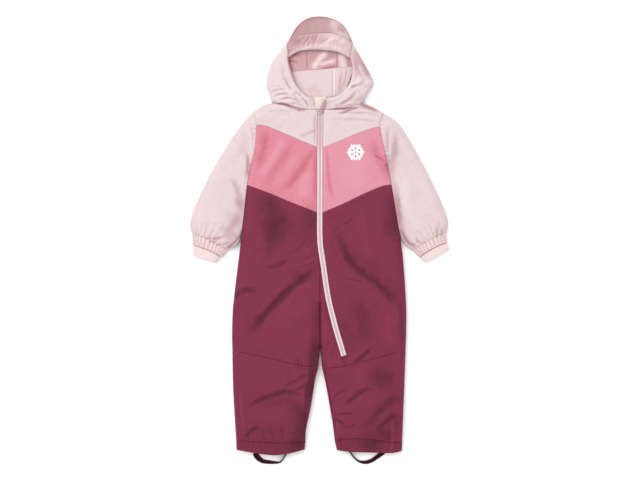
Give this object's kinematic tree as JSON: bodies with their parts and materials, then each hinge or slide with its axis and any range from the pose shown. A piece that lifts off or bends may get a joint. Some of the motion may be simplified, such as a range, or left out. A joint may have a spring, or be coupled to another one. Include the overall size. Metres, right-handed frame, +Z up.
{
  "type": "baby snowsuit",
  "caption": "Padded one-piece baby snowsuit laid flat on its back, with hood, slanting front zip, gathered cuffs and elastic foot straps.",
  "frame": {"origin": "on the surface the suit lies on, under the middle of its outline", "axes": "+X towards the wearer's left, +Y towards the hood, +Z up out of the surface, through the front"},
  "size_m": [0.531, 0.9174, 0.0283],
  "materials": {
    "back_yoke": "light pink woven shell, plain",
    "back_chest": "mid pink woven shell, plain",
    "back_right": "burgundy woven shell",
    "back_left": "burgundy woven shell",
    "yoke_right": "light pink woven shell",
    "yoke_left": "light pink woven shell",
    "chest_right": "mid pink woven shell",
    "chest_left": "mid pink woven shell with a small white print",
    "body_right": "burgundy woven shell",
    "body_left": "burgundy woven shell",
    "inner_thigh_left": "burgundy woven shell",
    "shin_right": "burgundy woven shell",
    "shin_left": "burgundy woven shell",
    "hem_right": "burgundy elasticated hem",
    "hem_left": "burgundy elasticated hem",
    "sleeve_right": "light pink woven shell",
    "sleeve_left": "light pink woven shell",
    "cuff_right": "gathered elastic cuff",
    "cuff_left": "gathered elastic cuff",
    "rib_cuff_right": "rib knit",
    "rib_cuff_left": "rib knit",
    "hood_side_right": "light pink woven shell",
    "hood_side_left": "light pink woven shell",
    "hood_brim": "light pink elasticated brim",
    "hood_crown": "dusty pink woven shell",
    "hood_back": "light pink woven shell",
    "hood_lining": "dusty pink lining",
    "neck_panel": "pale soft lining",
    "chin_guard": "cream soft tab",
    "zip_tape_right": "woven zip tape",
    "zip_tape_left": "woven zip tape",
    "zip_chain": "coil zip chain",
    "zip_slider": "mauve lacquered",
    "zip_pull": "mauve lacquered",
    "foot_strap_right": "dark elastic",
    "foot_strap_left": "dark elastic"
  },
  "bodies": {
    "suit": {"back_yoke": "back_yoke", "back_chest": "back_chest", "back_right": "back_right", "back_left": "back_left", "yoke_right": "yoke_right", "yoke_left": "yoke_left", "chest_right": "chest_right", "chest_left": "chest_left", "body_right": "body_right", "body_left": "body_left", "inner_thigh_left": "inner_thigh_left", "shin_right": "shin_right", "shin_left": "shin_left", "hem_right": "hem_right", "hem_left": "hem_left", "sleeve_right": "sleeve_right", "sleeve_left": "sleeve_left", "cuff_right": "cuff_right", "cuff_left": "cuff_left", "rib_cuff_right": "rib_cuff_right", "rib_cuff_left": "rib_cuff_left", "hood_side_right": "hood_side_right", "hood_side_left": "hood_side_left", "hood_brim": "hood_brim", "hood_crown": "hood_crown", "hood_back": "hood_back", "hood_lining": "hood_lining", "neck_panel": "neck_panel", "chin_guard": "chin_guard", "zip_tape_right": "zip_tape_right", "zip_tape_left": "zip_tape_left", "zip_chain": "zip_chain", "zip_slider": "zip_slider", "foot_strap_right": "foot_strap_right", "foot_strap_left": "foot_strap_left"},
    "pull": {"zip_pull": "zip_pull"}
  },
  "joints": [
    {"name": "zip_pull_hinge", "type": "hinge", "parent": "suit", "child": "pull", "pos_m": [0.0009, 0.2626, 0.0245], "axis": [0.9131, -0.4078, 0], "range_deg": [0, 165]}
  ]
}
